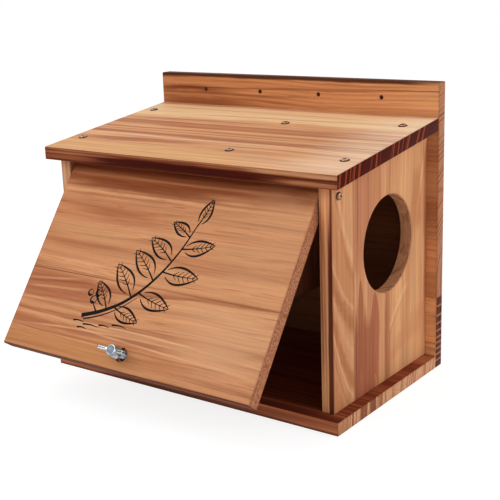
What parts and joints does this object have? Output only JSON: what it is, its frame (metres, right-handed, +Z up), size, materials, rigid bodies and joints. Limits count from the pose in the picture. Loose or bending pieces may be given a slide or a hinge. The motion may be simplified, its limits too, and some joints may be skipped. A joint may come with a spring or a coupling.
{
  "type": "squirrel house",
  "caption": "Box of stained pine boards with a sloping roof, a round side entrance, an inner partition, and a front door hung at its top and latched by a wing screw.",
  "frame": {"origin": "centre of the footprint of the base and back board, on the surface that the house stands on", "axes": "+X to the right, towards the wall with the entrance; +Y to the rear, towards the back board; +Z up"},
  "size_m": [0.32, 0.2824, 0.268],
  "materials": {
    "pine_case": "flame-browned pine, satin oil",
    "pine_door": "flame-browned pine, satin oil",
    "dark_zinc": "dulled zinc plating",
    "bright_zinc": "bright zinc plating"
  },
  "bodies": {
    "case": {"back_lower_board": "pine_case", "back_upper_board": "pine_case", "base_board": "pine_case", "roof_board": "pine_case", "left_wall_front_board": "pine_case", "left_wall_middle_board": "pine_case", "left_wall_rear_board": "pine_case", "right_wall_front_board": "pine_case", "right_wall_middle_board": "pine_case", "right_wall_rear_board": "pine_case", "partition": "pine_case", "latch_block": "pine_case", "roof_screws": "dark_zinc", "base_screws": "dark_zinc", "latch_block_screws": "dark_zinc", "back_screws": "dark_zinc"},
    "door": {"door_lower_board": "pine_door", "door_upper_board": "pine_door", "left_pivot_screw": "dark_zinc", "right_pivot_screw": "dark_zinc", "threaded_insert": "bright_zinc"},
    "keeper": {"keeper_ring": "bright_zinc"},
    "wing_screw": {"wing_screw": "bright_zinc"}
  },
  "joints": [
    {"name": "door_swing", "type": "hinge", "parent": "case", "child": "door", "pos_m": [0, -0.0725, 0.195], "axis": [-1, 0, 0], "range_deg": [-36, 60]},
    {"name": "screw_travel", "type": "slide", "parent": "door", "child": "keeper", "axis": [0, 0.809, -0.5878], "range_m": [0, 0.0095]},
    {"name": "screw_turn", "type": "hinge", "parent": "keeper", "child": "wing_screw", "pos_m": [0, -0.1689, 0.06232], "axis": [0, 0.809, -0.5878], "range_deg": [0, 3420]}
  ],
  "couplings": [
    {"joint": "screw_travel", "follows": "screw_turn", "m_per_rad": 0.00015915}
  ]
}
